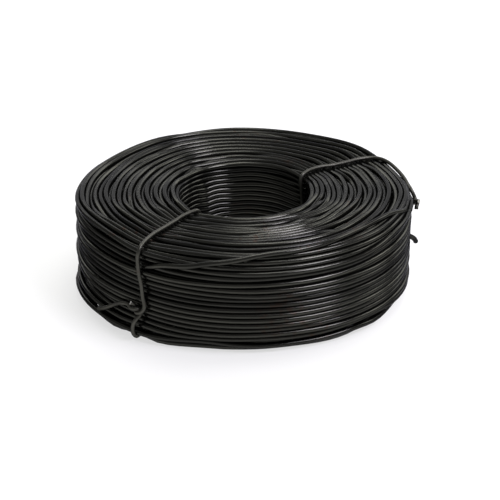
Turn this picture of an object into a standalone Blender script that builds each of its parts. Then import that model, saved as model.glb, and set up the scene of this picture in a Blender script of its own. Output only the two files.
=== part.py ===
"""A hand coil of black annealed binding wire, lying on its side face with its bore upright.

The coil is one turned solid: the turns of wire show as rings on both ends and as bands up the outer side.
Two short ties of thinner wire go round the bundle, through the bore, and close in a twist on the outer side.
Lengths are metres and angles are radians. An angle round the coil is 0 at the front (-Y) and grows towards +X.
"""

import math

import bmesh
import bpy
from mathutils import Vector
from mathutils.kdtree import KDTree

MM = 0.001

# The coil of wire
WIRE_DIAMETER = 1.6 * MM
BORE_RADIUS = 20.0 * MM
OUTER_RADIUS = 51.5 * MM
COIL_HEIGHT = 30.4 * MM
TOP_EDGE_RADIUS = 3.0 * MM
BOTTOM_EDGE_RADIUS = 4.5 * MM
BORE_EDGE_RADIUS = 1.2 * MM
CROWN_WIDTH = 0.9 * MM
VALLEY_DEPTH = 0.45 * MM
SEGMENTS = 36
BORE_BANDS = 4

# The last layer of wire, which covers part of the side on the left
LAST_LAYER_RISE = 1.0 * MM
LAST_LAYER_BOTTOM = 9.0 * MM
LAST_LAYER_TOP = 22.0 * MM
LAST_LAYER_MIDDLE = math.radians(-100)
LAST_LAYER_HALF = math.radians(60)
LAST_LAYER_FADE = math.radians(35)

# The ties
TIE_DIAMETER = 1.4 * MM
SEAT_GAP = 0.3 * MM
STRAND_GAP = 0.45 * MM
TWIST_PITCH = 5.0 * MM
TWIST_TURNS = 1.25
TWIST_START = 1.6 * MM
BEND_ROOM = 2.8 * MM
BITE_INSIDE = 0.8 * MM
FLOOR_GAP = 0.3 * MM
BITE_REACH = 9.0 * MM
ROUTE_SAMPLES = 240

# How finely the ties' paths are worked out, and which of their points are kept
TWIST_SAMPLES = 16
BEND_SAMPLES = 5
RUN_SAMPLES = 400
CURVE_STEPS = 4
LONGEST_STEP = 3.2 * MM
LARGEST_TURN = math.radians(20)

STRAND_HEIGHT = SEAT_GAP + TIE_DIAMETER / 2
HELIX_RADIUS = (TIE_DIAMETER + STRAND_GAP) / 2
UPPER_PHASE = math.pi / 2
LOWER_PHASE = -math.pi / 2
BITE_UNDER = FLOOR_GAP + TIE_DIAMETER + SEAT_GAP


class Line:
    """A straight stretch of the coil's section, from one (radius, height) to another."""

    def __init__(self, start, end):
        self.start = start
        self.end = end
        self.length = math.dist(start, end)

    def at(self, distance):
        """The point and the outward normal, both as (radius, height)."""
        share = distance / self.length
        run = self.end[0] - self.start[0]
        rise = self.end[1] - self.start[1]
        point = (self.start[0] + run * share, self.start[1] + rise * share)
        return point, (rise / self.length, -run / self.length)


class Arc:
    """A quarter turn of the coil's section, counter-clockwise from the start angle."""

    def __init__(self, centre, radius, start):
        self.centre = centre
        self.radius = radius
        self.start = start
        self.length = radius * math.pi / 2

    def at(self, distance):
        """The point and the outward normal, both as (radius, height)."""
        angle = self.start + distance / self.radius
        normal = (math.cos(angle), math.sin(angle))
        point = (self.centre[0] + self.radius * normal[0], self.centre[1] + self.radius * normal[1])
        return point, normal


def section_stretches(inner, outer, bottom, top):
    """The coil's section over the crowns of its turns, counter-clockwise from the bore's lower edge."""
    inner_edge = inner + BORE_EDGE_RADIUS
    low_outer = outer - BOTTOM_EDGE_RADIUS
    high_outer = outer - TOP_EDGE_RADIUS
    low_side = bottom + BOTTOM_EDGE_RADIUS
    high_side = top - TOP_EDGE_RADIUS
    low_bore = bottom + BORE_EDGE_RADIUS
    high_bore = top - BORE_EDGE_RADIUS
    return {
        "under": Line((inner_edge, bottom), (low_outer, bottom)),
        "low_edge": Arc((low_outer, low_side), BOTTOM_EDGE_RADIUS, -math.pi / 2),
        "side": Line((outer, low_side), (outer, high_side)),
        "high_edge": Arc((high_outer, high_side), TOP_EDGE_RADIUS, 0.0),
        "top": Line((high_outer, top), (inner_edge, top)),
        "bore_high_edge": Arc((inner_edge, high_bore), BORE_EDGE_RADIUS, math.pi / 2),
        "bore": Line((inner, high_bore), (inner, low_bore)),
        "bore_low_edge": Arc((inner_edge, low_bore), BORE_EDGE_RADIUS, math.pi),
    }


SECTION = section_stretches(BORE_RADIUS, OUTER_RADIUS, 0.0, COIL_HEIGHT)
SECTION_LENGTH = sum(stretch.length for stretch in SECTION.values())


def start_of(name):
    """The distance along the section at which a stretch starts."""
    names = list(SECTION)
    return sum(SECTION[n].length for n in names[: names.index(name)])


def stretch_at(distance):
    """The name of the stretch at a distance along the section, and how far along it that is."""
    left = distance % SECTION_LENGTH
    for name, stretch in SECTION.items():
        if left <= stretch.length:
            return name, left
        left -= stretch.length
    return "bore_low_edge", SECTION["bore_low_edge"].length


def smooth(share):
    """A share from 0 to 1, eased at both ends."""
    return 0.5 - 0.5 * math.cos(math.pi * min(max(share, 0.0), 1.0))


class Tie:
    """One tie: where it crosses the coil, and how its ends are twisted and left.

    The angles are where it lies in the bore, on the rim, at its knot and under the coil. The tails go
    towards larger angles when tails is 1 and towards smaller ones when it is -1.
    """

    def __init__(
        self, name, bore, rim, knot, under, knot_height, bite, tails, lean, long_tail, droop, stub
    ):
        self.name = name
        self.bore = math.radians(bore)
        self.rim = math.radians(rim)
        self.knot = math.radians(knot)
        self.under = math.radians(under)
        self.bite = bite
        self.tails = tails
        self.lean = math.radians(lean)
        self.long_tail = long_tail
        self.droop = droop
        self.stub = stub
        self.start = start_of("side") + knot_height - BOTTOM_EDGE_RADIUS

    def stations(self):
        """Where the tie's angle is set, as (distance along the section, angle), once round from the knot."""
        return [
            (self.start, self.knot),
            (start_of("top"), self.rim),
            (start_of("bore_high_edge"), self.bore),
            (start_of("bore_low_edge"), self.under),
            (SECTION_LENGTH + start_of("side"), self.under),
            (SECTION_LENGTH + self.start, self.knot + self.tails * TWIST_START / OUTER_RADIUS),
        ]

    def angle_at(self, distance):
        """The tie's angle round the coil at a distance along the section."""
        along = self.start + (distance - self.start) % SECTION_LENGTH
        stations = self.stations()
        for (first, angle), (last, next_angle) in zip(stations, stations[1:]):
            if along <= last:
                return angle + (next_angle - angle) * smooth((along - first) / (last - first))
        return self.knot


TIES = [
    Tie(
        name="tie_wire_front",
        bore=-42,
        rim=-34,
        knot=-35,
        under=-40,
        knot_height=9.5 * MM,
        bite=0.6 * MM,
        tails=-1,
        lean=35,
        long_tail=12.0 * MM,
        droop=8.5 * MM,
        stub=1.0 * MM,
    ),
    Tie(
        name="tie_wire_rear",
        bore=126,
        rim=121,
        knot=93,
        under=100,
        knot_height=22.5 * MM,
        bite=1.5 * MM,
        tails=-1,
        lean=-15,
        long_tail=3.0 * MM,
        droop=1.5 * MM,
        stub=1.2 * MM,
    ),
]


def section_point(stretch, along, angle, lift):
    """A point along a stretch of the section at one angle round the coil, raised by lift, as a vector."""
    (radius, height), (out, up) = stretch.at(along)
    radius += out * lift
    height += up * lift
    return Vector((radius * math.sin(angle), -radius * math.cos(angle), height))


def tie_routes():
    """For each tie, its route over the coil before it draws the turns in, ready to measure from."""
    routes = []
    for tie in TIES:
        route = KDTree(ROUTE_SAMPLES)
        for i in range(ROUTE_SAMPLES):
            distance = tie.start + SECTION_LENGTH * i / ROUTE_SAMPLES
            name, along = stretch_at(distance)
            route.insert(section_point(SECTION[name], along, tie.angle_at(distance), 0.0), i)
        route.balance()
        routes.append((tie, route))
    return routes


ROUTES = tie_routes()


def last_layer(height, angle):
    """How far the last layer, which covers only part of the side, stands out from the turns below it."""
    above = smooth((height - LAST_LAYER_BOTTOM) / WIRE_DIAMETER)
    below = smooth((LAST_LAYER_TOP - height) / WIRE_DIAMETER)
    away = abs(math.remainder(angle - LAST_LAYER_MIDDLE, 2 * math.pi))
    return LAST_LAYER_RISE * above * below * smooth((LAST_LAYER_HALF - away) / LAST_LAYER_FADE)


def on_column(distance, angle, lift):
    """A point over the crowns at one angle, as the ties draw them in, raised by lift."""
    name, along = stretch_at(distance)
    plain = section_point(SECTION[name], along, angle, 0.0)
    inside = 0.0
    under = 0.0
    side = 0.0
    for tie, route in ROUTES:
        hold = 1 - smooth(route.find(plain)[2] / BITE_REACH)
        inside = max(inside, BITE_INSIDE * hold)
        under = max(under, BITE_UNDER * hold)
        side = max(side, tie.bite * hold)
    drawn_in = section_stretches(BORE_RADIUS + inside, OUTER_RADIUS - side, under, COIL_HEIGHT - inside)[name]
    if name == "side":
        lift += last_layer(plain.z, angle)
    return section_point(drawn_in, along / SECTION[name].length * drawn_in.length, angle, lift)


def over_coil(distance, angle, lift):
    """A point at a height over the coil's flat facets, which run straight between its columns."""
    step = 2 * math.pi / SEGMENTS
    column = math.floor(angle / step)
    share = angle / step - column
    first = on_column(distance, column * step, lift)
    return first.lerp(on_column(distance, (column + 1) * step, lift), share)


def coil_profile():
    """The section's points as (distance, lift): two on each turn's crown and one in each valley."""
    wound = start_of("bore_high_edge")
    turns = round(wound / WIRE_DIAMETER)
    pitch = wound / turns
    points = []
    for turn in range(turns):
        middle = (turn + 0.5) * pitch
        points.append((middle - CROWN_WIDTH / 2, 0.0))
        points.append((middle + CROWN_WIDTH / 2, 0.0))
        if turn < turns - 1:
            points.append(((turn + 1) * pitch, -VALLEY_DEPTH))
    for band in range(BORE_BANDS + 1):
        points.append((start_of("bore") + SECTION["bore"].length * band / BORE_BANDS, 0.0))
    return points


def add_material(obj, colour, roughness, metallic):
    """Give an object a material of its own."""
    material = bpy.data.materials.new(obj.name)
    material.use_nodes = True
    shader = material.node_tree.nodes["Principled BSDF"]
    shader.inputs["Base Color"].default_value = (*colour, 1.0)
    shader.inputs["Roughness"].default_value = roughness
    shader.inputs["Metallic"].default_value = metallic
    obj.data.materials.append(material)


def add_coil():
    """The wound coil: its section turned once round the bore, then drawn in under each tie."""
    profile = coil_profile()
    bm = bmesh.new()
    columns = []
    for column in range(SEGMENTS):
        angle = 2 * math.pi * column / SEGMENTS
        columns.append([bm.verts.new(on_column(s, angle, lift)) for s, lift in profile])
    for first, second in zip(columns, columns[1:] + columns[:1]):
        for i in range(len(profile)):
            j = (i + 1) % len(profile)
            bm.faces.new((first[i], second[i], second[j], first[j]))
    bmesh.ops.triangulate(bm, faces=bm.faces[:])
    bmesh.ops.recalc_face_normals(bm, faces=bm.faces[:])
    mesh = bpy.data.meshes.new("wire_coil")
    bm.to_mesh(mesh)
    bm.free()
    mesh.shade_smooth()
    mesh.set_sharp_from_angle(angle=math.radians(25))
    coil = bpy.data.objects.new("wire_coil", mesh)
    bpy.context.collection.objects.link(coil)
    add_material(coil, (0.035, 0.034, 0.032), 0.42, 0.9)


def knot_point(tie, across, along, lift):
    """A point in the knot's own flat frame: across towards the tails, along up the side, lift off the turns."""
    angle = tie.knot + tie.tails * across / OUTER_RADIUS
    return over_coil(tie.start + along, angle, lift)


def twist_point(tie, share, phase):
    """A point of one strand in the twist, at a share of its length, with the strand's own phase."""
    along_axis = TWIST_PITCH * TWIST_TURNS * share
    turned = phase + 2 * math.pi * TWIST_TURNS * share
    sideways = HELIX_RADIUS * math.cos(turned)
    across = TWIST_START + along_axis * math.cos(tie.lean) - sideways * math.sin(tie.lean)
    along = along_axis * math.sin(tie.lean) + sideways * math.cos(tie.lean)
    lift = STRAND_HEIGHT + HELIX_RADIUS + HELIX_RADIUS * math.sin(turned)
    return knot_point(tie, across, along, lift)


def twist_heading(tie, phase, share):
    """The way that a strand runs at a share of the twist's length."""
    step = 0.01
    return (twist_point(tie, share + step, phase) - twist_point(tie, share, phase)).normalized()


def twist_strand(tie, phase):
    """One strand's points through the twist, from the coil outwards."""
    return [twist_point(tie, i / TWIST_SAMPLES, phase) for i in range(TWIST_SAMPLES + 1)]


def bend_points(tie, phase, across, room):
    """The bend into the twist from the run round the coil, which ends at across and room from the knot."""
    start = knot_point(tie, across, room, STRAND_HEIGHT)
    beyond = knot_point(tie, across, room / 2, STRAND_HEIGHT)
    end = twist_point(tie, 0.0, phase)
    before = end - twist_heading(tie, phase, 0.0) * abs(room) / 2
    points = []
    for i in range(BEND_SAMPLES):
        share = i / BEND_SAMPLES
        left = 1 - share
        point = start * left**3 + beyond * 3 * left**2 * share
        points.append(point + before * 3 * left * share**2 + end * share**3)
    return points


def long_tail_points(tie):
    """The long end past the twist, which settles against the outer side."""
    length = TWIST_PITCH * TWIST_TURNS
    reach = TWIST_START + length * math.cos(tie.lean)
    rise = length * math.sin(tie.lean) - HELIX_RADIUS
    points = []
    for share in (0.25, 0.5, 0.75, 1.0):
        lift = STRAND_HEIGHT + HELIX_RADIUS * (1 - smooth(share * 2))
        points.append(knot_point(tie, reach + share * tie.long_tail, rise - share**2 * tie.droop, lift))
    return points


def stub_points(tie):
    """The short cut end past the twist, which runs straight on."""
    end = twist_point(tie, 1.0, LOWER_PHASE)
    return [end + twist_heading(tie, LOWER_PHASE, 1.0) * tie.stub]


def run_points(tie):
    """The tie's run once round the coil's section, from above its knot to below it."""
    first = tie.start + BEND_ROOM
    last = tie.start + SECTION_LENGTH - BEND_ROOM
    points = []
    for i in range(1, RUN_SAMPLES):
        distance = first + (last - first) * i / RUN_SAMPLES
        points.append(over_coil(distance, tie.angle_at(distance), STRAND_HEIGHT))
    return points


def curve_through(points):
    """A smooth curve through points."""
    ends = [points[0] * 2 - points[1]] + points + [points[-1] * 2 - points[-2]]
    curve = []
    for a, b, c, d in zip(ends, ends[1:], ends[2:], ends[3:]):
        for i in range(CURVE_STEPS):
            t = i / CURVE_STEPS
            bend = (a * 2 - b * 5 + c * 4 - d) * t * t + (b * 3 - a - c * 3 + d) * t**3
            curve.append((b * 2 + (c - a) * t + bend) / 2)
    return curve + [points[-1]]


def thinned(points):
    """Only the points that a path needs: a new one after each longest step or largest turn."""
    kept = [points[0]]
    heading = points[1] - points[0]
    for before, here, after in zip(points, points[1:], points[2:]):
        turned = heading.angle(after - here)
        if turned > LARGEST_TURN or (here - kept[-1]).length > LONGEST_STEP:
            kept.append(here)
            heading = after - here
    return kept + [points[-1]]


def add_tie(tie):
    """One tie: long tail, twist, once round the coil's section, and back through the twist to the stub."""
    upper = bend_points(tie, UPPER_PHASE, 0.0, BEND_ROOM)
    upper += twist_strand(tie, UPPER_PHASE) + long_tail_points(tie)
    lower = bend_points(tie, LOWER_PHASE, TWIST_START, -BEND_ROOM)
    lower += twist_strand(tie, LOWER_PHASE) + stub_points(tie)
    path = thinned(curve_through(upper[::-1] + run_points(tie) + lower))
    curve = bpy.data.curves.new(tie.name, "CURVE")
    curve.dimensions = "3D"
    curve.bevel_depth = TIE_DIAMETER / 2
    curve.bevel_resolution = 2
    curve.use_fill_caps = True
    spline = curve.splines.new("POLY")
    spline.points.add(len(path) - 1)
    for point, place in zip(spline.points, path):
        point.co = (*place, 1.0)
    obj = bpy.data.objects.new(tie.name, curve)
    bpy.context.collection.objects.link(obj)
    add_material(obj, (0.05, 0.047, 0.042), 0.4, 0.9)


def main():
    for obj in list(bpy.data.objects):
        bpy.data.objects.remove(obj, do_unlink=True)
    add_coil()
    for tie in TIES:
        add_tie(tie)


main()
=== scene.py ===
"""The looks of a hand coil of black annealed binding wire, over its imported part.

The coil is wound turn by turn in numbers, as wire is laid on a mandrel, and then settles into its section.
Each stretch of it that can be seen, and the layers behind, is swept as round wire. Two ties hold it.
Meshes are in metres. The winding, the ties' ways and the constants are in millimetres. Angles are radians,
and degrees where they are typed in. An angle round the coil is 0 at the front (-Y) and grows towards +X.
"""

import math

import bmesh
import bpy
import numpy as np
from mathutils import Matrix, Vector


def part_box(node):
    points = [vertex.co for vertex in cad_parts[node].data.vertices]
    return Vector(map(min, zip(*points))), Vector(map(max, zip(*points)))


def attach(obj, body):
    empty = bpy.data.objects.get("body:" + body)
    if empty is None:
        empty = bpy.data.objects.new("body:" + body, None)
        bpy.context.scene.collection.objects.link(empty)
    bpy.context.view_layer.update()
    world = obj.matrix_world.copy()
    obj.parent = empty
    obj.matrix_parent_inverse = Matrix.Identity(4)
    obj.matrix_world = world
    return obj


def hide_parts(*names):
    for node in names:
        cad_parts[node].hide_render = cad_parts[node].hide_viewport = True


bl_info = {
    "name": "Coil of binding wire",
    "version": (1, 0, 0),
    "blender": (4, 5, 0),
    "location": "3D View > Sidebar > Wire Coil",
    "description": "Winds a coil of black annealed wire and its two ties over the packed part",
    "category": "Object",
}

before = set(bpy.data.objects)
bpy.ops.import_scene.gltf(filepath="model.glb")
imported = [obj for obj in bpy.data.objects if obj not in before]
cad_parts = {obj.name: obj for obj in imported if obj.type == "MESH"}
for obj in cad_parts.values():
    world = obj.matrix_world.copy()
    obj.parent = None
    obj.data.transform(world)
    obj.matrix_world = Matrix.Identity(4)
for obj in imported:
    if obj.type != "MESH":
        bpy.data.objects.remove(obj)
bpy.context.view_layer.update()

MM = 0.001
_, COIL_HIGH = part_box("wire_coil")
HEIGHT = COIL_HIGH.z / MM
OUTER = COIL_HIGH.y / MM
BORE = 20.0

# Each turn is worked out at so many stations, and starts at the back
STATIONS = 96
STEP = 2 * math.pi / STATIONS
SEAM = math.pi

# Laying: the bends in which a turn strays, the last layers, which are laid less neatly, the places within
# its slip that a turn tries, what a square millimetre aside costs as against rise, the stations over which
# slips even out and a turn joins the one before, and the rounds in which it is pulled taut
BENDS_A_TURN = 1.3
ROUGH_LAYERS = 4
PLACES_TRIED = 15
SLIP_COST = 0.18
EVEN_REACH = 4
JOIN_REACH = 9.0
TAUT_ROUNDS = 200

# Settling: how far turns are pulled in each round, the share of an overlap by which each of two gives way,
# the share of a kink that springs out, how near turns are paired, and the rounds after which they are again
PULL = 0.002
PUSH = 0.45
SPRING = 0.25
PAIR_REACH = 0.5
PAIR_ROUNDS = 10

# Wire down to the first depth is shown finely where it comes up past the second, and the rest is the core
SHOWN_DEPTH = 4.3
SEEN_DEPTH = 2.5
# The sides of the wire that shows, of the core, and of single lengths that lie over the others
SHOWN_SIDES, CORE_SIDES, SINGLE_SIDES = 8, 6, 12

# The radii of the coil's edges. Where a form doesn't go all the way round, its middle, half and fade follow
# in degrees: the lower edge is rounder at the front and fuller on the left.
TOP_EDGE = 2.0
BORE_EDGE = 1.2
LOW_EDGE = 4.5
FRONT_EDGE = (6.3, 4, 34, 34)
LEFT_EDGE = (3.8, -66, 36, 14)

# The last layer, which is looser on the left between two heights, and goes so deep
LAST_LAYER = (-100, 60, 35)
LOOSE_LOW, LOOSE_HIGH = 9.0, 22.0
LOOSE_DEEP = 3.2
LOOSE_FADE = 1.6

# Stations left off the wire's end: the last turn has nothing to lie against and would hang off the coil
TUCKED = 112

# Where outer turns have spread: millimetres outward and upward, the height from which they do and where it
# is full, and its reach round the coil. Low on the left and right, then on top at the back left, on the
# right and at the back. It grows between two radii, and a tie holds back a share of it.
SWELLS = (
    (4.3, 0.0, 8.8, 0.5, (-59, 50, 30)),
    (1.8, 0.0, 8.5, 0.5, (54, 44, 30)),
    (1.0, 0.3, 19.0, 28.0, (-132, 98, 60)),
    (1.1, 0.2, 19.0, 28.0, (113, 42, 25)),
    (0.0, -0.5, 20.0, 28.0, (180, 50, 40)),
)
SPREAD_FROM, SPREAD_FULL = 28.0, 49.0
HELD_BACK = 0.3

# The spacing of points on a route over the coil, how far off the outline a turn can carry it, and how deep a
# stray length beds in
ROUTE_STEP = 0.5
LIE_REACH = 5.0
STRAY_BITE = 0.1


class WindingSizes(bpy.types.PropertyGroup):
    """The wire and how it is wound."""

    wire: bpy.props.FloatProperty(
        name="Wire", description="Diameter of the wire", default=1.6 * MM, min=0.5 * MM, unit="LENGTH"
    )
    turns: bpy.props.IntProperty(
        name="Turns", description="Turns of wire in the coil, the tucked one too", default=384, min=40
    )
    pitch: bpy.props.FloatProperty(
        name="Pitch", description="Spacing at which the turns are laid", default=1.65 * MM, unit="LENGTH"
    )
    wander: bpy.props.FloatProperty(
        name="Wander", description="How far wire strays while it is laid", default=0.13 * MM, unit="LENGTH"
    )
    slip: bpy.props.FloatProperty(
        name="Slip", description="How far a turn slips to lie in a groove", default=0.7 * MM, unit="LENGTH"
    )
    seed: bpy.props.IntProperty(name="Seed", description="Seed of the wire's wander", default=3)
    rounds: bpy.props.IntProperty(
        name="Rounds", description="Rounds in which the coil settles", default=100, min=1
    )
    loose: bpy.props.FloatProperty(
        name="Loose layer", description="How far the last layer stands out", default=0.7 * MM, unit="LENGTH"
    )
    spread: bpy.props.FloatProperty(
        name="Spread", description="Share of the outer turns' spread", default=1.0, min=0.0, subtype="FACTOR"
    )
    outer_wander: bpy.props.FloatProperty(
        name="Outer wander", description="What outer layers stray besides", default=0.35 * MM, unit="LENGTH"
    )


class TieSizes(bpy.types.PropertyGroup):
    """The two ties."""

    wire: bpy.props.FloatProperty(
        name="Tie wire", description="The ties' diameter", default=1.2 * MM, min=0.5 * MM, unit="LENGTH"
    )
    lay: bpy.props.FloatProperty(
        name="Twist", description="Length of one turn of the twist", default=5.2 * MM, unit="LENGTH"
    )
    turns: bpy.props.FloatProperty(name="Twist turns", description="Turns in each twist", default=0.75)


class WireFinishes(bpy.types.PropertyGroup):
    """Colours of the wire, as sRGB hex values."""

    oxide: bpy.props.StringProperty(name="Oxide", description="Black oxide of the wire", default="2A2A28")
    oxide_thin: bpy.props.StringProperty(
        name="Thin oxide", description="Where the oxide is thin", default="40403B"
    )
    rust: bpy.props.StringProperty(name="Rust", description="Faint rust", default="3A2419")
    tie: bpy.props.StringProperty(name="Tie wire", description="The ties' paler wire", default="56554F")
    cut: bpy.props.StringProperty(name="Cut steel", description="Freshly cut ends", default="C9C7C1")
    floor: bpy.props.StringProperty(name="Floor", description="The pale floor", default="F4F4F2")


def smooth(share):
    """A share from 0 to 1, eased at both ends."""
    return 0.5 - 0.5 * np.cos(np.pi * np.clip(share, 0.0, 1.0))


def fair_between(a, b, c, d, share):
    """Values at a share of the way from b to c, on a fair curve that comes from a and goes on to d."""
    bend = (2 * a - 5 * b + 4 * c - d) * share**2 + (3 * b - a - 3 * c + d) * share**3
    return (2 * b + (c - a) * share + bend) / 2


# Winding, in millimetres


def wander_along(random, count, bends):
    """A smooth stray of about unit size over count samples, with so many bends."""
    knots = random.normal(size=max(4, int(bends) + 3))
    places = np.linspace(0, len(knots) - 3.001, count) + 1
    first = places.astype(int)
    around_it = (knots[np.minimum(first + k, len(knots) - 1)] for k in (-1, 0, 1, 2))
    return fair_between(*around_it, places - first)


def blurred(values, spread):
    """Values smoothed along their first axis."""
    width = int(3 * spread)
    weights = np.exp(-0.5 * (np.arange(-width, width + 1) / spread) ** 2)
    weights /= weights.sum()
    padded = np.pad(values, [(width, width)] + [(0, 0)] * (values.ndim - 1), mode="edge")
    return sum(weight * padded[k : k + len(values)] for k, weight in enumerate(weights))


def rest_radius(height, heights, radii, wire):
    """The radius at which a wire laid at a height comes to rest on the turns below it."""
    lowest = np.full(height.shape, BORE + wire / 2)
    if len(heights) == 0:
        return lowest
    extra = (None,) * (height.ndim - 1)
    apart = height[None] - heights[(..., *extra)]
    over = radii[(..., *extra)] + np.sqrt(np.maximum(wire**2 - apart**2, 0))
    return np.maximum(np.where(np.abs(apart) < wire, over, 0).max(0), lowest)


def pulled_taut(radius, start):
    """The radius of one turn pulled taut over what it must stay outside of, from a start radius."""
    most = 1 / radius
    curved = most.copy()
    curved[0] = min(curved[0], 1 / start)
    first = curved[0]
    for _ in range(TAUT_ROUNDS):
        straight = curved.copy()
        straight[1:-1] = (curved[:-2] + curved[2:]) / (2 * math.cos(STEP))
        curved = np.minimum(most, straight)
        curved[0] = first
    return 1 / curved


def wind(sizes):
    """The heights and radii of every turn as it is laid, layer on layer, one row a turn."""
    wire, pitch, slip = sizes.wire / MM, sizes.pitch / MM, sizes.slip / MM
    random = np.random.default_rng(sizes.seed)
    low, high = wire / 2, HEIGHT - wire / 2
    per_layer = (high - low) / pitch
    count = sizes.turns * STATIONS + 1
    travelled = (np.arange(count) / STATIONS / per_layer) % 2
    wanted = low + (high - low) * np.where(travelled < 1, travelled, 2 - travelled)
    layers_left = (sizes.turns - np.arange(count) / STATIONS) / per_layer
    stray = sizes.wander + sizes.outer_wander * smooth(ROUGH_LAYERS - layers_left)
    wanted += stray / MM * wander_along(random, count, sizes.turns * BENDS_A_TURN)
    heights = np.zeros((sizes.turns, STATIONS + 1))
    radii = np.zeros((sizes.turns, STATIONS + 1))
    shifts = np.linspace(-slip, slip, PLACES_TRIED)
    three_layers = int(3 * per_layer) + 3
    joining = np.exp(-0.5 * (np.arange(STATIONS + 1) / JOIN_REACH) ** 2)
    for turn in range(sizes.turns):
        below = slice(max(0, turn - three_layers), turn)
        height = np.clip(wanted[turn * STATIONS : turn * STATIONS + STATIONS + 1], low, high)
        if turn:
            tried = np.clip(height[:, None] + shifts[None], low, high)
            cost = rest_radius(tried, heights[below], radii[below], wire) + SLIP_COST * shifts[None] ** 2
            height = height + blurred(shifts[blurred(cost, EVEN_REACH).argmin(1)], EVEN_REACH)
            height = np.clip(height + (heights[turn - 1, -1] - height[0]) * joining, low, high)
        rest = rest_radius(height, heights[below], radii[below], wire)
        heights[turn] = height
        radii[turn] = pulled_taut(rest, radii[turn - 1, -1] if turn else rest[0])
    return heights[:, :-1], radii[:, :-1]


def station_angles():
    """The angle round the coil of each station of a turn."""
    return SEAM + STEP * np.arange(STATIONS)


def kept_inside(radius, height, limits, edges, half):
    """Points pushed into the coil's section, half a wire in from its outline."""
    inner, outer, bottom, top = limits
    for side, end, edge in edges:
        edge_radius = np.maximum(edge, half + 0.01)
        across = (outer if side > 0 else inner) - side * edge_radius
        up = (top if end > 0 else bottom) - end * edge_radius
        out, rise = (radius - across) * side, (height - up) * end
        away = np.maximum(np.hypot(out, rise), 1e-9)
        past = (out > 0) & (rise > 0) & (away > edge_radius - half)
        share = np.where(past, (edge_radius - half) / away, 1.0)
        radius = np.where(past, across + side * out * share, radius)
        height = np.where(past, up + end * rise * share, height)
    return np.clip(radius, inner + half, outer - half), np.clip(height, bottom + half, top - half)


def touching_pairs(radius, height, reach):
    """The samples of different turns that are near each other, station by station."""
    firsts, seconds = [], []
    for station in range(STATIONS):
        across = radius[:, None, station] - radius[None, :, station]
        up = height[:, None, station] - height[None, :, station]
        first, second = np.nonzero(np.triu(across**2 + up**2 < reach**2, 1))
        firsts.append(first * STATIONS + station)
        seconds.append(second * STATIONS + station)
    return np.concatenate(firsts), np.concatenate(seconds)


def stiffened(values):
    """Values along the wire, eased towards a fair curve, as a springy wire lies."""
    fair = values.copy()
    beside = 4 * (values[1:-3] + values[3:-1]) - values[:-4] - values[4:]
    fair[2:-2] += SPRING * (beside / 6 - values[2:-2])
    return fair


def settle(height, radius, sizes, holds):
    """Let the turns find room for each other inside the coil's section, drawn in where ties hold it."""
    wire = sizes.wire / MM
    hold_inside, hold_side, hold_under = holds
    angles = np.broadcast_to(station_angles(), radius.shape)
    edges = (
        (1, 1, TOP_EDGE),
        (1, -1, low_edge_radius(angles)),
        (-1, 1, BORE_EDGE),
        (-1, -1, BORE_EDGE),
    )
    count = radius.size
    for done in range(sizes.rounds):
        if done % PAIR_ROUNDS == 0:
            first, second = touching_pairs(radius, height, wire + PAIR_REACH)
        out, up = (radius - PULL).ravel(), height.ravel()
        across, rise = out[first] - out[second], up[first] - up[second]
        apart = np.maximum(np.hypot(across, rise), 1e-6)
        push = np.maximum(wire - apart, 0) * PUSH / apart
        out = out + np.bincount(first, across * push, count) - np.bincount(second, across * push, count)
        up = up + np.bincount(first, rise * push, count) - np.bincount(second, rise * push, count)
        shape = radius.shape
        radius, height = stiffened(out).reshape(shape), stiffened(up).reshape(shape)
        limits = (BORE + hold_inside, OUTER - hold_side, hold_under, HEIGHT - hold_inside)
        radius, height = kept_inside(radius, height, limits, edges, wire / 2)
    return height, radius


# The coil's section, the ties' way round it, and how wire lies on wire


def around(angle, middle, half, fade):
    """The share at an angle of a form that is full round its middle and fades out towards its half."""
    middle, half, fade = (math.radians(degrees) for degrees in (middle, half, fade))
    away = np.abs((angle - middle + np.pi) % (2 * np.pi) - np.pi)
    return smooth((half - away) / fade)


def low_edge_radius(angle):
    """The radius of the coil's lower edge at an angle."""
    front = (FRONT_EDGE[0] - LOW_EDGE) * around(angle, *FRONT_EDGE[1:])
    return LOW_EDGE + front + (LEFT_EDGE[0] - LOW_EDGE) * around(angle, *LEFT_EDGE[1:])


def swollen(radius, height, angle, sizes):
    """How far the coil's outer turns have spread, outward and upward."""
    weight = sizes.spread * smooth((radius - SPREAD_FROM) / (SPREAD_FULL - SPREAD_FROM))
    moved = np.zeros((2, *radius.shape))
    for outward, upward, grows, full, place in SWELLS:
        share = weight * smooth((height - grows) / (full - grows)) * around(angle, *place)
        moved += np.stack([outward * share, upward * share])
    return moved


def loose_layer(height, angle, sizes):
    """How far the last layer, which is looser on the left, stands out there."""
    band = smooth((height - LOOSE_LOW) / LOOSE_FADE) * smooth((LOOSE_HIGH - height) / LOOSE_FADE)
    return sizes.loose / MM * band * around(angle, *LAST_LAYER)


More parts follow.
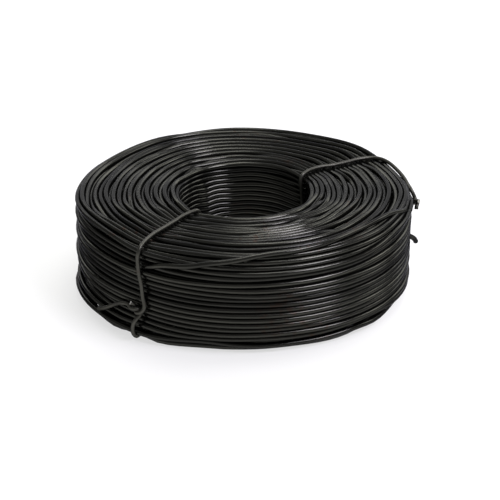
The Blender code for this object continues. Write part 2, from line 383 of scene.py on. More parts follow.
def section_stretches(limits, low_edge):
    """The coil's section over its turns, counter-clockwise from the bore's lower edge.

    A straight stretch is its start and end. A rounded one is its centre, no end, its radius and first angle.
    """
    inner, outer, bottom, top = limits
    return {
        "under": ((inner + BORE_EDGE, bottom), (outer - low_edge, bottom), 0.0, 0.0),
        "low_edge": ((outer - low_edge, bottom + low_edge), None, low_edge, -math.pi / 2),
        "side": ((outer, bottom + low_edge), (outer, top - TOP_EDGE), 0.0, 0.0),
        "high_edge": ((outer - TOP_EDGE, top - TOP_EDGE), None, TOP_EDGE, 0.0),
        "top": ((outer - TOP_EDGE, top), (inner + BORE_EDGE, top), 0.0, 0.0),
        "bore_high_edge": ((inner + BORE_EDGE, top - BORE_EDGE), None, BORE_EDGE, math.pi / 2),
        "bore": ((inner, top - BORE_EDGE), (inner, bottom + BORE_EDGE), 0.0, 0.0),
        "bore_low_edge": ((inner + BORE_EDGE, bottom + BORE_EDGE), None, BORE_EDGE, math.pi),
    }


def on_stretch(stretch, share):
    """The point and outward normal at a share of a stretch, both as (radius, height)."""
    start, end, radius, turned = stretch
    if end is None:
        angle = turned + share * math.pi / 2
        normal = (math.cos(angle), math.sin(angle))
        return (start[0] + radius * normal[0], start[1] + radius * normal[1]), normal
    run, rise = end[0] - start[0], end[1] - start[1]
    length = math.hypot(run, rise)
    return (start[0] + run * share, start[1] + rise * share), (rise / length, -run / length)


PLAIN = section_stretches((BORE, OUTER, 0.0, HEIGHT), LOW_EDGE)
LENGTHS = {
    name: radius * math.pi / 2 if end is None else math.dist(start, end)
    for name, (start, end, radius, _) in PLAIN.items()
}
AROUND = sum(LENGTHS.values())


def start_of(name):
    """The distance along the section at which a stretch starts."""
    names = list(LENGTHS)
    return sum(LENGTHS[n] for n in names[: names.index(name)])


def stretch_at(distance):
    """Which stretch lies at a distance along the section, and the share of it that is passed."""
    left = distance % AROUND
    for name, length in LENGTHS.items():
        if left <= length:
            return name, left / length
        left -= length
    return name, 1.0


def along_section(route):
    """A route's stretches, each with its (share, degrees) points, as (distance, angle) points."""
    return [
        (start_of(name) + LENGTHS[name] * share, math.radians(degrees))
        for name, *places in route
        for share, degrees in places
    ]


def curve_through(points, steps):
    """A smooth curve through rows of points, with so many steps from each to the next."""
    ends = np.concatenate([[2 * points[0] - points[1]], points, [2 * points[-1] - points[-2]]])
    around_it = (ends[k : len(points) - 1 + k, None] for k in range(4))
    curve = fair_between(*around_it, (np.arange(steps) / steps)[None, :, None])
    return np.concatenate([curve.reshape(-1, points.shape[1]), points[-1:]])


def spaced(points, spacing):
    """Rows of points spaced evenly along a line through rough ones."""
    along = np.concatenate([[0.0], np.cumsum(np.linalg.norm(np.diff(points, axis=0), axis=1))])
    places = np.linspace(0.0, along[-1], max(2, round(along[-1] / spacing) + 1))
    return np.stack([np.interp(places, along, points[:, k]) for k in range(points.shape[1])], -1)


def laid_route(points):
    """A smooth, even route through a few (distance, angle) points."""
    scale = np.array([1.0, OUTER])
    return spaced(curve_through(np.array(points), 12) * scale, ROUTE_STEP) / scale


class Tie:
    """One tie: its way over the coil, and how its ends are twisted and left, in millimetres and degrees.

    It leaves its knot upwards and comes back to it from below. The knot rises over the floor and bites into
    the side, the twist leans up, and the tail is (across, along) points. Both ends point to smaller angles.
    """

    def __init__(self, name, node, route, knot, rises, bite, lean, tail, stub):
        self.name, self.node, self.route = name, node, route
        self.knot = math.radians(knot)
        self.start = start_of("side") + rises - LOW_EDGE
        self.bite = bite
        self.lean = math.radians(lean)
        self.tail, self.stub = tail, stub

    def run(self):
        """The tie's way once round the section as even points (distance, angle), from above its knot."""
        points = [(self.start + BEND_ROOM, self.knot)]
        for distance, angle in along_section(self.route):
            points.append((distance + AROUND * (distance < self.start), angle))
        points.append((self.start + AROUND - BEND_ROOM, self.knot - (TWIST_START + LOWER_ASIDE) / OUTER))
        return laid_route(points)


# How far beside its knot a twist starts, the room for a strand's bend, how much further aside the lower one
# goes, the gap between the strands, and the length over which a long tail comes down
TWIST_START = 1.6
BEND_ROOM = 3.4
LOWER_ASIDE = 1.0
TWIST_GAP = 0.12
TAIL_FALL = 6.0
TIES = (
    Tie(
        name="front_tie",
        node="tie_wire_front",
        route=(
            ("side", (0.4, -34.6), (0.6, -35.2), (0.75, -35.9), (0.95, -36.2)),
            ("high_edge", (0.5, -35.9)),
            ("top", (0.07, -37.2), (0.27, -38.8), (0.47, -39.4)),
            ("top", (0.67, -40.6), (0.82, -42.0), (0.96, -41.7)),
            ("bore", (0.1, -41.2), (0.9, -40.0)),
            ("under", (0.1, -39.8), (0.9, -38.8)),
            ("low_edge", (0.5, -38.2)),
        ),
        knot=-34,
        rises=8.8,
        bite=0.6,
        lean=45,
        tail=((4.4, 2.9), (7.3, 2.0), (10.3, 0.3), (12.5, -1.0), (14.7, -2.3), (16.6, -3.3), (18.3, -4.0)),
        stub=0.9,
    ),
    Tie(
        name="rear_tie",
        node="tie_wire_rear",
        route=(
            ("high_edge", (0.05, 100.0), (0.4, 108.0), (0.8, 115.5)),
            ("top", (0.04, 119.6), (0.2, 121.6), (0.4, 121.8)),
            ("top", (0.6, 122.4), (0.75, 124.6), (0.92, 123.8)),
            ("bore", (0.05, 119.0), (0.9, 108.0)),
            ("under", (0.1, 104.0), (0.9, 98.0)),
            ("low_edge", (0.5, 98.0)),
            ("side", (0.3, 97.5), (0.6, 96.5)),
        ),
        knot=95,
        rises=25.2,
        bite=0.8,
        lean=10,
        tail=((4.6, -1.4),),
        stub=1.2,
    ),
)
# How far a tie's hold reaches and how much it draws in, first in the bore and on top, then underneath
HOLD_REACH = 9.0
HOLD_INSIDE = 0.8
HOLD_UNDER_REACH = 6.0
HOLD_UNDER = 1.8


class Stray:
    """A length of wire that lies over the others: its route, and how far each end lies under or off them."""

    def __init__(self, route, start_lift, end_lift, ease):
        self.route, self.ease = route, ease
        self.start_lift, self.end_lift = start_lift, end_lift


STRAYS = (
    # The stray turn, from the front tie over the rim and along the top, and back down on the right
    Stray(
        route=(
            ("side", (0.78, -39.0), (0.82, -35.5), (0.88, -30.5), (0.93, -26.8), (0.97, -18.4)),
            ("high_edge", (0.3, -11.5), (0.75, -5.0)),
            ("top", (0.02, 1.5), (0.05, 8.6), (0.06, 17.0), (0.08, 25.0), (0.1, 31.7), (0.13, 39.0)),
            ("top", (0.15, 46.5), (0.13, 54.0), (0.09, 61.0), (0.04, 68.0)),
            ("high_edge", (0.6, 75.0)),
        ),
        start_lift=-1.8,
        end_lift=-1.8,
        ease=12.0,
    ),
    # A cut end on the right, which stands off the side
    Stray(
        route=(("side", (0.64, 77.0), (0.57, 80.0), (0.49, 82.5), (0.41, 84.5)),),
        start_lift=-2.0,
        end_lift=1.0,
        ease=6.0,
    ),
)


def placed(radius, height, angle):
    """Points in millimetres from radius, height and angle, with the last axis as x, y and z."""
    return np.stack([radius * np.sin(angle), -radius * np.cos(angle), height + 0 * radius], -1)


def tie_holds(points):
    """How much the ties draw in the coil at some points: inside and on top, on the side, and underneath."""
    inside, side, under = (np.zeros(points.shape[:-1]) for _ in range(3))
    for tie in TIES:
        nearest = np.full(points.shape[:-1], np.inf)
        for distance, angle in [(tie.start, tie.knot), *tie.run()[::3]]:
            name, share = stretch_at(distance)
            (radius, height), _ = on_stretch(PLAIN[name], share)
            nearest = np.minimum(nearest, ((points - placed(radius, height, angle)) ** 2).sum(-1))
        nearest = np.sqrt(nearest)
        hold = 1 - smooth(nearest / HOLD_REACH)
        inside = np.maximum(inside, HOLD_INSIDE * hold)
        side = np.maximum(side, tie.bite * hold)
        under = np.maximum(under, HOLD_UNDER * (1 - smooth(nearest / HOLD_UNDER_REACH)))
    return inside, side, under


class Coil:
    """The settled winding, worked out once."""

    turns = None

    @classmethod
    def settled(cls):
        """Radius, height and depth under the coil's surface of every turn at every station."""
        if cls.turns is None:
            sizes = bpy.context.scene.winding_sizes
            half = sizes.wire / MM / 2
            height, radius = wind(sizes)
            outermost = np.sort(radius, 0)[-10:].mean()
            room = OUTER - BORE - 2 * half
            radius = BORE + half + (radius - BORE - half) * room / (outermost - BORE - half)
            angles = np.broadcast_to(station_angles(), radius.shape)
            inside, side, under = tie_holds(placed(radius, height, angles))
            height, radius = settle(height, radius, sizes, (inside, side, under))
            depth = np.minimum.reduce(
                [
                    OUTER - side - radius,
                    radius - BORE - inside,
                    HEIGHT - inside - height,
                    height - under,
                ]
            )
            near_outside = smooth((radius - OUTER + LOOSE_DEEP) / LOOSE_FADE)
            out, up = swollen(radius, height, angles, sizes) * (1 - HELD_BACK * inside / HOLD_INSIDE)
            radius = radius + loose_layer(height, angles, sizes) * near_outside + out
            cls.turns = (radius, height + up, depth)
        return cls.turns


def turns_at(angle):
    """Radius and height of every turn where it passes an angle round the coil."""
    radius, height, _ = Coil.settled()
    place = (angle - SEAM) / STEP % STATIONS
    station = int(place)
    share = place - station
    flat_radius, flat_height = radius.ravel(), height.ravel()
    first = np.arange(len(radius)) * STATIONS + station
    second = np.minimum(first + 1, radius.size - 1)
    return (
        flat_radius[first] * (1 - share) + flat_radius[second] * share,
        flat_height[first] * (1 - share) + flat_height[second] * share,
    )


def section_spot(distance, angle):
    """The point and outward normal on the section as the ties draw it in, as (radius, height)."""
    name, share = stretch_at(distance)
    (radius, height), _ = on_stretch(PLAIN[name], share)
    inside, side, under = tie_holds(placed(radius, height, angle))
    limits = (BORE + inside, OUTER - side, under, HEIGHT - inside)
    return on_stretch(section_stretches(limits, low_edge_radius(angle))[name], share)


def lift_on_turns(spot, normal, angle, centres):
    """How far out from the section a wire lies there, touching the turns at a distance between centres."""
    radius, height = turns_at(angle)
    across, up = radius - spot[0], height - spot[1]
    out = across * normal[0] + up * normal[1]
    aside = across * normal[1] - up * normal[0]
    touching = (np.abs(aside) < centres) & (np.abs(out) < LIE_REACH)
    if not touching.any():
        return 0.0
    return float((out + np.sqrt(np.maximum(centres**2 - aside**2, 0)))[touching].max())


def draped(route, diameter, extra=0.0, stiff=2):
    """A wire laid over the settled turns along an even (distance, angle) route, as points in millimetres.

    It takes the highest spots within so many stiff points, stays fair between them, and is lifted by extra.
    """
    centres = (diameter + bpy.context.scene.winding_sizes.wire / MM) / 2
    spots = [section_spot(distance, angle) for distance, angle in route]
    lifts = np.array(
        [lift_on_turns(spot, normal, angle, centres) for (spot, normal), (_, angle) in zip(spots, route)]
    )
    padded = np.pad(lifts, (stiff, stiff), mode="edge")
    highest = np.max([padded[k : k + len(lifts)] for k in range(2 * stiff + 1)], 0)
    lifts = blurred(highest, 1.0 + stiff) + extra
    points = []
    for ((radius, height), (out, up)), lift, (_, angle) in zip(spots, lifts, route):
        points.append(placed(radius + out * lift, height + up * lift, angle))
    return np.array(points)


def stray_path(stray, diameter):
    """One stray length of wire, with its ends going down between the others or standing off them."""
    route = laid_route(along_section(stray.route))
    passed = np.arange(len(route)) * ROUTE_STEP
    extra = stray.start_lift * (1 - smooth(passed / stray.ease)) - STRAY_BITE
    extra += stray.end_lift * (1 - smooth((passed[-1] - passed) / stray.ease))
    return blurred(draped(route, diameter, extra, stiff=6), 3.0)


# Sweeping wire


def swept_wire(name, runs, tones, diameter, sides):
    """One piece of round wire along runs of points in metres, with its tone and its lay as attributes."""
    curve = bpy.data.curves.new(name, "CURVE")
    curve.dimensions = "3D"
    curve.bevel_depth = diameter / 2
    curve.bevel_resolution = (sides - 4) // 2
    for run in runs:
        spline = curve.splines.new("POLY")
        spline.points.add(len(run) - 1)
        spline.points.foreach_set("co", np.column_stack([run, np.ones(len(run))]).ravel())
    shape = bpy.data.objects.new(name, curve)
    bpy.context.collection.objects.link(shape)
    bpy.context.view_layer.update()
    mesh = bpy.data.meshes.new_from_object(shape.evaluated_get(bpy.context.evaluated_depsgraph_get()))
    mesh.name = name
    bpy.data.objects.remove(shape)
    bpy.data.curves.remove(curve)
    piece = bpy.data.objects.new(name, mesh)
    bpy.context.collection.objects.link(piece)
    mark_lay(mesh, runs, sides, diameter, tones)
    close_ends(mesh)
    mesh.shade_smooth()
    mesh.set_sharp_from_angle(angle=math.radians(60))
    return piece


def close_ends(mesh):
    """Close the open ends of swept wire with one flat face each."""
    bm = bmesh.new()
    bm.from_mesh(mesh)
    bmesh.ops.holes_fill(bm, edges=[edge for edge in bm.edges if edge.is_boundary], sides=0)
    bmesh.ops.recalc_face_normals(bm, faces=bm.faces[:])
    bm.to_mesh(mesh)
    bm.free()


def mark_lay(mesh, runs, sides, diameter, tones):
    """Write each ring's tone, and each point's place along and round the wire, on the mesh."""
    tone = np.concatenate([np.repeat(t, sides) for t in tones])
    lays = []
    passed = 0.0
    for run in runs:
        along = np.concatenate([[0.0], np.cumsum(np.linalg.norm(np.diff(run, axis=0), axis=1))]) + passed
        passed = along[-1] + 0.01
        turned = np.tile(np.arange(sides) * 2 * np.pi / sides, len(run))
        ring = diameter / 2 * np.stack([np.cos(turned), np.sin(turned)], -1)
        lays.append(np.column_stack([np.repeat(along, sides), ring]))
    lay = np.concatenate(lays)
    if len(tone) != len(mesh.vertices):
        raise RuntimeError(f"{mesh.name}: {len(mesh.vertices)} vertices for {len(tone)} ring points")
    rows = (("tone", "FLOAT", "value", tone), ("lay", "FLOAT_VECTOR", "vector", lay))
    for name, kind, key, values in rows:
        attribute = mesh.attributes.new(name, kind, "POINT")
        attribute.data.foreach_set(key, values.astype(np.float32).ravel())


def stretches_of(flags):
    """The start and end of each stretch of flags that are set."""
    edges = np.flatnonzero(np.diff(np.concatenate([[0], flags.astype(int), [0]])))
    return zip(edges[::2], edges[1::2])


def shown_runs(depth):
    """Stretches of the whole wire that lie near the outside and come up to where they can be seen."""
    shown = np.zeros(len(depth), bool)
    runs = []
    for start, end in stretches_of(depth < SHOWN_DEPTH):
        if depth[start:end].min() < SEEN_DEPTH and end - start > 3:
            runs.append((start, end))
            shown[start:end] = True
    return runs, shown


# Materials


def linear(colour):
    """An sRGB hex value as linear RGBA."""
    parts = [int(colour[i : i + 2], 16) / 255 for i in (0, 2, 4)]
    return (*(c / 12.92 if c <= 0.04045 else ((c + 0.055) / 1.055) ** 2.4 for c in parts), 1.0)


def add_node(tree, kind, settings=None, sockets=None):
    """Add a node: settings are its properties, and sockets are input values or outputs that feed them."""
    node = tree.nodes.new(kind)
    for key, value in (settings or {}).items():
        setattr(node, key, value)
    for key, value in (sockets or {}).items():
        if isinstance(value, bpy.types.NodeSocket):
            tree.links.new(value, node.inputs[key])
        else:
            node.inputs[key].default_value = value
    return node


def new_material(name):
    """An empty node material and its shader."""
    material = bpy.data.materials.new(name)
    material.use_nodes = True
    material.node_tree.nodes.clear()
    shader = add_node(material.node_tree, "ShaderNodeBsdfPrincipled")
    add_node(material.node_tree, "ShaderNodeOutputMaterial", sockets={"Surface": shader.outputs[0]})
    return material, shader


def noise_on_lay(tree, lay, sizes, sockets):
    """Noise that follows the wire, with patches of so many millimetres along it and across."""
    scale = tuple(1 / (size * MM) for size in sizes)
    scaled = add_node(tree, "ShaderNodeMapping", sockets={"Vector": lay, "Scale": scale})
    sockets = {"Vector": scaled.outputs[0], "Scale": 1.0, **sockets}
    return add_node(tree, "ShaderNodeTexNoise", sockets=sockets).outputs["Fac"]


def annealed_steel(name, dark, pale, rust, roughness, rusting):
    """Black annealed steel: drawn, then baked in a closed pot, which leaves a thin, satin, blue-black oxide.

    To the eye it is a near-black metal with soft, long glints. The oxide thins in patches along the wire,
    faint lengthwise marks from drawing show close up, and a little rust starts where damp has stood.
    """
    material, shader = new_material(name)
    tree = material.node_tree
    tone = add_node(tree, "ShaderNodeAttribute", {"attribute_name": "tone"}).outputs["Fac"]
    lay = add_node(tree, "ShaderNodeAttribute", {"attribute_name": "lay"}).outputs["Vector"]
    spot = add_node(tree, "ShaderNodeTexCoord").outputs["Object"]
    # Oxide patches about 12.5 mm long and wider than the wire is thick
    patches = noise_on_lay(tree, lay, (12.5, 2.0, 2.0), {"Detail": 4.0, "Roughness": 0.6})
    sum_of = add_node(tree, "ShaderNodeMath", {"operation": "ADD"}, {0: patches, 1: tone}).outputs[0]
    amount = add_node(
        tree, "ShaderNodeMapRange", sockets={"Value": sum_of, "From Min": 0.55, "From Max": 1.45}
    ).outputs[0]
    oxide = add_node(
        tree,
        "ShaderNodeMix",
        {"data_type": "RGBA"},
        {"Factor": amount, "A": linear(dark), "B": linear(pale)},
    ).outputs["Result"]
    # Rust in blooms about 18.2 mm wide, broken up at about 1.54 mm
    bloom = add_node(
        tree, "ShaderNodeTexNoise", sockets={"Vector": spot, "Scale": 1 / (18.2 * MM), "Detail": 2.0}
    ).outputs["Fac"]
    specks = add_node(
        tree, "ShaderNodeTexNoise", sockets={"Vector": spot, "Scale": 1 / (1.54 * MM), "Detail": 3.0}
    ).outputs["Fac"]
    both = add_node(tree, "ShaderNodeMath", {"operation": "MULTIPLY"}, {0: bloom, 1: specks}).outputs[0]
    rusted = add_node(
        tree,
        "ShaderNodeMapRange",
        sockets={"Value": both, "From Min": 0.36, "From Max": 0.46, "To Max": rusting},
    ).outputs[0]
    colour = add_node(
        tree,
        "ShaderNodeMix",
        {"data_type": "RGBA"},
        {"Factor": rusted, "A": oxide, "B": linear(rust)},
    ).outputs["Result"]
    tree.links.new(colour, shader.inputs["Base Color"])
    shader.inputs["Metallic"].default_value = 0.9
    shader.inputs["Specular Tint"].default_value = linear("8A8A93")
    shader.inputs["Specular IOR Level"].default_value = 0.25
    # It is rougher where the oxide is thin
    rougher = {"To Min": roughness, "To Max": roughness + 0.1}
    rough = add_node(
        tree, "ShaderNodeMapRange", sockets={"Value": patches, "From Min": 0.3, "From Max": 0.7, **rougher}
    ).outputs[0]
    tree.links.new(rough, shader.inputs["Roughness"])
    # Drawing marks 4 mm long and 0.125 mm apart, which is coarser than real ones, so that they show
    marks = noise_on_lay(tree, lay, (4.0, 0.125, 0.125), {"Detail": 2.0})
    bump = add_node(
        tree, "ShaderNodeBump", sockets={"Height": marks, "Strength": 0.25, "Distance": 0.03 * MM}
    ).outputs[0]
    tree.links.new(bump, shader.inputs["Normal"])
    return material


def cut_steel(colour):
    """Bare steel at a nipped end: bright, with the pinch of the cutters across it."""
    material, shader = new_material("bare_cut_steel")
    tree = material.node_tree
    spot = add_node(tree, "ShaderNodeTexCoord").outputs["Object"]
    # Marks of the cutters a third of a millimetre apart
    grain = add_node(
        tree, "ShaderNodeTexNoise", sockets={"Vector": spot, "Scale": 3 / MM, "Detail": 2.0}
    ).outputs["Fac"]
    shade = add_node(
        tree,
        "ShaderNodeMix",
        {"data_type": "RGBA"},
        {"Factor": grain, "A": linear("8E8C86"), "B": linear(colour)},
    ).outputs["Result"]
    tree.links.new(shade, shader.inputs["Base Color"])
    shader.inputs["Metallic"].default_value = 1.0
    shader.inputs["Roughness"].default_value = 0.3
    return material


def paint(piece, material, end_material):
    """Give a piece its material, and its cut ends, whose faces have more than four corners, theirs."""
    piece.data.materials.append(material)
    piece.data.materials.append(end_material)
    for face in piece.data.polygons:
        face.material_index = int(len(face.vertices) > 4)


def wire_materials():
    """The materials of the coil, the ties and the cut ends, made once."""
    finishes = bpy.context.scene.wire_finishes
    made = bpy.data.materials
    black, paler = "black_annealed_steel", "paler_annealed_steel"
    if black not in made:
        colours = (finishes.oxide, finishes.oxide_thin, finishes.rust)
        annealed_steel(black, *colours, roughness=0.13, rusting=0.35)
        colours = (finishes.oxide_thin, finishes.tie, finishes.rust)
        annealed_steel(paler, *colours, roughness=0.36, rusting=0.15)
        cut_steel(finishes.cut)
    return made[black], made[paler], made["bare_cut_steel"]


# Operators


class WIRECOIL_OT_wind(bpy.types.Operator):
    """Wind the coil and sweep its turns as round wire"""

    bl_idname = "wirecoil.wind"
    bl_label = "Wind the coil"

    def execute(self, context):
        sizes = context.scene.winding_sizes
        radius, height, depth = (values.ravel()[:-TUCKED] for values in Coil.settled())
        angles = np.tile(station_angles(), sizes.turns)[:-TUCKED]
        points = placed(radius, height, angles) * MM
        random = np.random.default_rng(sizes.seed + 1)
        tone = 0.5 + 0.22 * wander_along(random, len(points), sizes.turns * 0.8)
        runs, shown = shown_runs(depth)

        # Each shown stretch goes to the piece for the side of the coil that it lies nearest to
        groups = {"wound_side": [], "wound_top": [], "wound_bore": [], "wound_under": []}
        for start, end in runs:
            seen = start + np.flatnonzero(depth[start:end] < SEEN_DEPTH)
            from_sides = (OUTER - radius[seen], HEIGHT - height[seen], radius[seen] - BORE, height[seen])
            nearest = int(np.argmin([np.mean(away) for away in from_sides]))
            groups[list(groups)[nearest]].append(np.arange(start, min(end + 1, len(points))))
        for name, members in groups.items():
            self.sweep(name, [points[run] for run in members], [tone[run] for run in members], SHOWN_SIDES)

        # The layers behind are swept through every second station
        deep = []
        for start, end in stretches_of(~shown):
            run = np.unique(np.append(np.arange(max(start - 1, 0), end, 2), end - 1))
            if len(run) > 1:
                deep.append(run)
        self.sweep("wound_core", [points[run] for run in deep], [tone[run] for run in deep], CORE_SIDES)

        paths = [stray_path(stray, sizes.wire / MM) * MM for stray in STRAYS]
        tones = [0.6 + 0.2 * wander_along(random, len(path), 10) for path in paths]
        self.sweep("stray_turns", paths, tones, SINGLE_SIDES)
        return {"FINISHED"}

    def sweep(self, name, runs, tones, sides):
        """Sweep one piece of the coil's wire and give it its finish."""
        black, _, cut = wire_materials()
        piece = swept_wire(name, runs, tones, bpy.context.scene.winding_sizes.wire, sides)
        paint(piece, black, cut)
        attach(piece, "root")
        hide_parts("wire_coil")


class WIRECOIL_OT_ties(bpy.types.Operator):
    """Lay the two ties over the settled turns and twist their ends"""

    bl_idname = "wirecoil.ties"
    bl_label = "Tie the coil"

    def execute(self, context):
        _, pale, cut = wire_materials()
        for tie in TIES:
            piece = make_tie(tie, context.scene.tie_sizes)
            paint(piece, pale, cut)
            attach(piece, "root")
            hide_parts(tie.node)
        return {"FINISHED"}


def make_tie(tie, sizes):
    """One tie: from its stub through the twist, once round the bundle, and back through it to the tail."""
    diameter = sizes.wire / MM
    centres = (diameter + bpy.context.scene.winding_sizes.wire / MM) / 2
    helix = (diameter + TWIST_GAP) / 2
    run = draped(tie.run(), diameter, stiff=4)

    def spot_on(across, along):
        angle = tie.knot - across / OUTER
        return (*section_spot(tie.start + along, angle), angle)

    # The knot lies flat on most of the turns under it
    under_knot = []
    for across in np.linspace(1, 7, 7):
        for along in np.linspace(-1.5, 3.0, 7):
            spot, normal, angle = spot_on(across, along)
            under_knot.append(lift_on_turns(spot, normal, angle, centres))
    base_lift = float(np.percentile(under_knot, 75))

    def twist_point(share, phase):
        axis = sizes.lay / MM * sizes.turns * share
        turned = phase + 2 * math.pi * sizes.turns * share
        aside = helix * math.cos(turned)
        across = TWIST_START + axis * math.cos(tie.lean) - aside * math.sin(tie.lean)
        spot, normal, angle = spot_on(across, axis * math.sin(tie.lean) + aside * math.cos(tie.lean))
        lift = base_lift + helix + helix * math.sin(turned)
        return placed(spot[0] + normal[0] * lift, spot[1] + normal[1] * lift, angle)

    def heading(phase, share):
        ahead = twist_point(share + 0.01, phase) - twist_point(share, phase)
        return ahead / np.linalg.norm(ahead)

    def bend(phase, start, after):
        end = twist_point(0.0, phase)
        before = end - heading(phase, 0.0) * BEND_ROOM / 2
        beyond = start + (start - after) / np.linalg.norm(start - after) * BEND_ROOM / 2
        share = np.linspace(0, 1, 8)[1:-1, None]
        left = 1 - share
        return start * left**3 + beyond * 3 * left**2 * share + before * 3 * left * share**2 + end * share**3

    strand = np.linspace(0, 1, 16)
    upper = [twist_point(share, math.pi / 2) for share in strand]
    lower = [twist_point(share, -math.pi / 2) for share in strand]
    stub = [upper[-1] + heading(math.pi / 2, 1.0) * tie.stub * share for share in (0.5, 1.0)]
    places = [(tie.start + along, tie.knot - (TWIST_START + across) / OUTER) for across, along in tie.tail]
    if len(places) > 1:
        # A long tail comes down from the twist and lies on the side
        route = laid_route(places)
        tail = draped(route, diameter, helix * (1 - smooth(np.arange(len(route)) * ROUTE_STEP / TAIL_FALL)))
    else:
        spot, normal = section_spot(*places[0])
        lift = base_lift + helix
        tail = [placed(spot[0] + normal[0] * lift, spot[1] + normal[1] * lift, places[0][1])]
    to_upper = bend(math.pi / 2, run[0], run[2])
    to_lower = bend(-math.pi / 2, run[-1], run[-3])
    points = np.concatenate([stub[::-1], upper[::-1], to_upper[::-1], run, to_lower, lower, tail])
    path = blurred(spaced(points, 0.45), 1.2) * MM
    # Under the coil the tie touches the floor at most
    path[:, 2] = np.maximum(path[:, 2], sizes.wire / 2)
    tone = 0.5 + 0.2 * wander_along(np.random.default_rng(7), len(path), 12)
    return swept_wire(tie.name, [path], [tone], sizes.wire, SINGLE_SIDES)


class WIRECOIL_OT_stage(bpy.types.Operator):
    """Set the pale floor, the soft light and the camera"""

    bl_idname = "wirecoil.stage"
    bl_label = "Set the stage"

    def execute(self, context):
        scene = context.scene
        bm = bmesh.new()
        bmesh.ops.create_grid(bm, x_segments=1, y_segments=1, size=3.0)
        mesh = bpy.data.meshes.new("floor")
        bm.to_mesh(mesh)
        bm.free()
        floor = bpy.data.objects.new("floor", mesh)
        scene.collection.objects.link(floor)
        floor.data.materials.append(pale_floor(scene.wire_finishes.floor))
        world = bpy.data.worlds.new("studio")
        world.use_nodes = True
        background = world.node_tree.nodes["Background"]
        background.inputs["Color"].default_value = linear("FFFFFF")
        background.inputs["Strength"].default_value = 0.27
        scene.world = world
        add_light("key_softbox", (0.57, -0.33, 0.78), (0.38, 0.38), 7.2, "F2EEFF")
        add_light("top_softbox", (0.12, 0.15, 0.95), (0.45, 0.45), 4.0)
        add_light("right_softbox", (0.72, 0.25, 0.6), (0.3, 0.3), 1.6)
        add_light("backdrop", (0.15, 1.4, 0.55), (3.2, 1.1), 52.0)
        add_camera(scene)
        scene.view_settings.view_transform = "Standard"
        return {"FINISHED"}


def add_light(name, place, size, power, colour="FFFFFF"):
    """A soft light, so wide and high, that faces the coil."""
    light = bpy.data.lights.new(name, "AREA")
    light.shape = "RECTANGLE"
    light.size, light.size_y = size
    light.energy = power
    light.color = linear(colour)[:3]
    lamp = bpy.data.objects.new(name, light)
    lamp.location = place
    lamp.rotation_euler = (Vector((0, 0, 15 * MM)) - Vector(place)).to_track_quat("-Z", "Y").to_euler()
    bpy.context.scene.collection.objects.link(lamp)


def pale_floor(colour):
    """A pale matt board, which keeps a soft shadow and is near white to the camera and in glints.

    To the eye it is an even white with no gloss, and a fine tooth about a millimetre across.
    """
    material, shader = new_material("pale_matt_board")
    tree = material.node_tree
    spot = add_node(tree, "ShaderNodeTexCoord").outputs["Object"]
    grain = add_node(
        tree, "ShaderNodeTexNoise", sockets={"Vector": spot, "Scale": 1 / (1.1 * MM), "Detail": 2.0}
    ).outputs[0]
    rough = add_node(
        tree, "ShaderNodeMapRange", sockets={"Value": grain, "To Min": 0.75, "To Max": 0.9}
    ).outputs[0]
    tree.links.new(rough, shader.inputs["Roughness"])
    shader.inputs["Base Color"].default_value = linear(colour)
    path = add_node(tree, "ShaderNodeLightPath")
    seen = add_node(
        tree,
        "ShaderNodeMath",
        {"operation": "MAXIMUM"},
        {0: path.outputs["Is Camera Ray"], 1: path.outputs["Is Glossy Ray"]},
    ).outputs[0]
    seen = add_node(
        tree, "ShaderNodeMath", {"operation": "MAXIMUM"}, {0: seen, 1: path.outputs["Is Transmission Ray"]}
    ).outputs[0]
    # So much of the board's look is plain white, and the rest keeps the shadow
    share = add_node(tree, "ShaderNodeMath", {"operation": "MULTIPLY"}, {0: seen, 1: 0.64}).outputs[0]
    glow = add_node(tree, "ShaderNodeEmission", sockets={"Color": linear("FFFFFF"), "Strength": 1.0})
    mixed = add_node(
        tree, "ShaderNodeMixShader", sockets={0: share, 1: shader.outputs[0], 2: glow.outputs[0]}
    ).outputs[0]
    output = next(n for n in tree.nodes if n.type == "OUTPUT_MATERIAL")
    tree.links.new(mixed, output.inputs["Surface"])
    return material


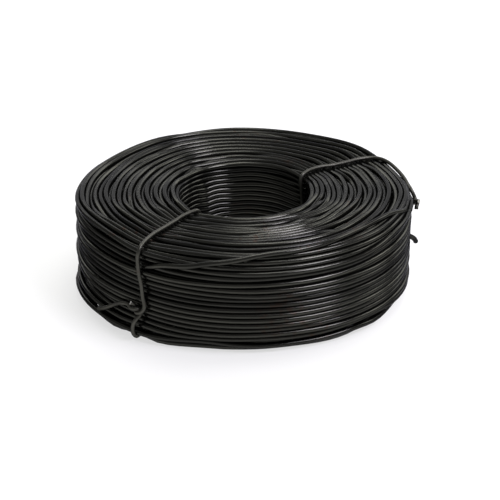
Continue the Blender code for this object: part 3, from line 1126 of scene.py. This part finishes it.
def add_camera(scene):
    """The camera where the photograph was taken from: nine and a half outer radii away, 25 degrees up."""
    distance = 9.5 * OUTER * MM
    rise = math.radians(25.34)
    tilt = math.radians(25.98)
    turn = math.radians(0.22)
    # The lens is 1574.2 pixels long in the photograph's frame of 500
    camera = bpy.data.objects.new("camera", bpy.data.cameras.new("camera"))
    camera.data.sensor_width = 36.0
    camera.data.lens = 1574.2 / 500 * camera.data.sensor_width
    camera.location = (0.0, -distance * math.cos(rise), HEIGHT * MM / 2 + distance * math.sin(rise))
    ahead = Vector((math.sin(turn) * math.cos(tilt), math.cos(turn) * math.cos(tilt), -math.sin(tilt)))
    camera.rotation_euler = ahead.to_track_quat("-Z", "Y").to_euler()
    camera.data.clip_start = 0.01
    scene.collection.objects.link(camera)
    scene.camera = camera


class WIRECOIL_PT_panel(bpy.types.Panel):
    """The coil's sizes and steps, in the sidebar"""

    bl_label = "Coil of binding wire"
    bl_idname = "WIRECOIL_PT_panel"
    bl_space_type = "VIEW_3D"
    bl_region_type = "UI"
    bl_category = "Wire Coil"

    def draw(self, context):
        layout = self.layout
        scene = context.scene
        for group in (scene.winding_sizes, scene.tie_sizes, scene.wire_finishes):
            box = layout.box()
            for name in group.__annotations__:
                box.prop(group, name)
        for operator in OPERATORS:
            layout.operator(operator.bl_idname)


GROUPS = {"winding_sizes": WindingSizes, "tie_sizes": TieSizes, "wire_finishes": WireFinishes}
OPERATORS = (WIRECOIL_OT_wind, WIRECOIL_OT_ties, WIRECOIL_OT_stage)
CLASSES = (*GROUPS.values(), *OPERATORS, WIRECOIL_PT_panel)


def register():
    for cls in CLASSES:
        bpy.utils.register_class(cls)
    for name, group in GROUPS.items():
        setattr(bpy.types.Scene, name, bpy.props.PointerProperty(type=group))


def unregister():
    for name in GROUPS:
        delattr(bpy.types.Scene, name)
    for cls in reversed(CLASSES):
        bpy.utils.unregister_class(cls)


def main():
    register()
    bpy.ops.wirecoil.stage()
    bpy.ops.wirecoil.wind()
    bpy.ops.wirecoil.ties()


if __name__ == "__main__":
    main()
